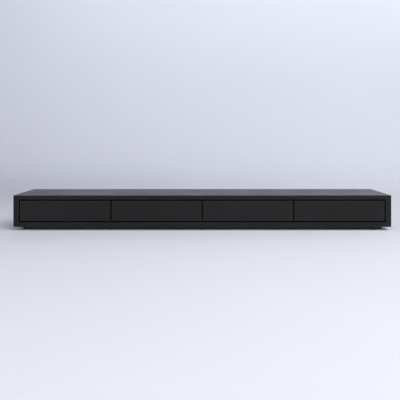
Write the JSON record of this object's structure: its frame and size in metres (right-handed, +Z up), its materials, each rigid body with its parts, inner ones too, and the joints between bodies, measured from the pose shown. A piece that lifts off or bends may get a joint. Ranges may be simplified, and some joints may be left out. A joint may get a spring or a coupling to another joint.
{
  "type": "low dresser with drawers",
  "caption": "Long, low dresser on a set-back plinth, with a row of flush, handleless drawers that open by a push.",
  "frame": {"origin": "on the floor, under the middle of the carcass", "axes": "+X to the right as seen from the front, +Y to the back (the drawers open towards -Y), +Z up"},
  "size_m": [2.4, 0.45, 0.222],
  "materials": {
    "black_lacquer": "satin",
    "black_board": "matte",
    "drawer_board": "matte",
    "drawer_floor": "matte",
    "beech": "matte",
    "slide_steel": "satin",
    "zinc_steel": "satin",
    "latch_plastic": "matte",
    "plunger_plastic": "satin",
    "glide_plastic": "matte"
  },
  "bodies": {
    "carcass": {"top_panel": "black_lacquer", "bottom_panel": "black_lacquer", "left_side_panel": "black_lacquer", "right_side_panel": "black_lacquer", "divider_left": "black_board", "divider_middle": "black_board", "divider_right": "black_board", "back_panel": "black_board", "plinth_front": "black_lacquer", "plinth_back": "black_lacquer", "plinth_left_end": "black_lacquer", "plinth_right_end": "black_lacquer", "plinth_cross_rails": "black_board", "floor_glides": "glide_plastic", "dowels": "beech", "cabinet_screws": "zinc_steel", "plinth_screws": "zinc_steel", "slide_outers": "slide_steel", "latch_housings": "latch_plastic"},
    "drawer_1": {"drawer_1_front": "black_lacquer", "drawer_1_box_front": "drawer_board", "drawer_1_box_left": "drawer_board", "drawer_1_box_right": "drawer_board", "drawer_1_box_back": "drawer_board", "drawer_1_box_floor": "drawer_floor", "drawer_1_screws": "zinc_steel", "drawer_1_slide_inners": "slide_steel"},
    "slide_middles_1": {"drawer_1_slide_middles": "slide_steel"},
    "plunger_1": {"latch_1_plunger": "plunger_plastic"},
    "drawer_2": {"drawer_2_front": "black_lacquer", "drawer_2_box_front": "drawer_board", "drawer_2_box_left": "drawer_board", "drawer_2_box_right": "drawer_board", "drawer_2_box_back": "drawer_board", "drawer_2_box_floor": "drawer_floor", "drawer_2_screws": "zinc_steel", "drawer_2_slide_inners": "slide_steel"},
    "slide_middles_2": {"drawer_2_slide_middles": "slide_steel"},
    "plunger_2": {"latch_2_plunger": "plunger_plastic"},
    "drawer_3": {"drawer_3_front": "black_lacquer", "drawer_3_box_front": "drawer_board", "drawer_3_box_left": "drawer_board", "drawer_3_box_right": "drawer_board", "drawer_3_box_back": "drawer_board", "drawer_3_box_floor": "drawer_floor", "drawer_3_screws": "zinc_steel", "drawer_3_slide_inners": "slide_steel"},
    "slide_middles_3": {"drawer_3_slide_middles": "slide_steel"},
    "plunger_3": {"latch_3_plunger": "plunger_plastic"},
    "drawer_4": {"drawer_4_front": "black_lacquer", "drawer_4_box_front": "drawer_board", "drawer_4_box_left": "drawer_board", "drawer_4_box_right": "drawer_board", "drawer_4_box_back": "drawer_board", "drawer_4_box_floor": "drawer_floor", "drawer_4_screws": "zinc_steel", "drawer_4_slide_inners": "slide_steel"},
    "slide_middles_4": {"drawer_4_slide_middles": "slide_steel"},
    "plunger_4": {"latch_4_plunger": "plunger_plastic"}
  },
  "joints": [
    {"name": "drawer_1_slide", "type": "slide", "parent": "carcass", "child": "drawer_1", "axis": [0, -1, 0], "range_m": [0, 0.35]},
    {"name": "slide_middles_1_slide", "type": "slide", "parent": "carcass", "child": "slide_middles_1", "axis": [0, -1, 0], "range_m": [0, 0.175]},
    {"name": "plunger_1_press", "type": "slide", "parent": "carcass", "child": "plunger_1", "axis": [0, 1, 0], "range_m": [0, 0.003], "stiffness_N_per_m": 1000},
    {"name": "drawer_2_slide", "type": "slide", "parent": "carcass", "child": "drawer_2", "axis": [0, -1, 0], "range_m": [0, 0.35]},
    {"name": "slide_middles_2_slide", "type": "slide", "parent": "carcass", "child": "slide_middles_2", "axis": [0, -1, 0], "range_m": [0, 0.175]},
    {"name": "plunger_2_press", "type": "slide", "parent": "carcass", "child": "plunger_2", "axis": [0, 1, 0], "range_m": [0, 0.003], "stiffness_N_per_m": 1000},
    {"name": "drawer_3_slide", "type": "slide", "parent": "carcass", "child": "drawer_3", "axis": [0, -1, 0], "range_m": [0, 0.35]},
    {"name": "slide_middles_3_slide", "type": "slide", "parent": "carcass", "child": "slide_middles_3", "axis": [0, -1, 0], "range_m": [0, 0.175]},
    {"name": "plunger_3_press", "type": "slide", "parent": "carcass", "child": "plunger_3", "axis": [0, 1, 0], "range_m": [0, 0.003], "stiffness_N_per_m": 1000},
    {"name": "drawer_4_slide", "type": "slide", "parent": "carcass", "child": "drawer_4", "axis": [0, -1, 0], "range_m": [0, 0.35]},
    {"name": "slide_middles_4_slide", "type": "slide", "parent": "carcass", "child": "slide_middles_4", "axis": [0, -1, 0], "range_m": [0, 0.175]},
    {"name": "plunger_4_press", "type": "slide", "parent": "carcass", "child": "plunger_4", "axis": [0, 1, 0], "range_m": [0, 0.003], "stiffness_N_per_m": 1000}
  ],
  "couplings": [
    {"joint": "slide_middles_1_slide", "follows": "drawer_1_slide", "ratio": 0.5},
    {"joint": "slide_middles_2_slide", "follows": "drawer_2_slide", "ratio": 0.5},
    {"joint": "slide_middles_3_slide", "follows": "drawer_3_slide", "ratio": 0.5},
    {"joint": "slide_middles_4_slide", "follows": "drawer_4_slide", "ratio": 0.5}
  ]
}
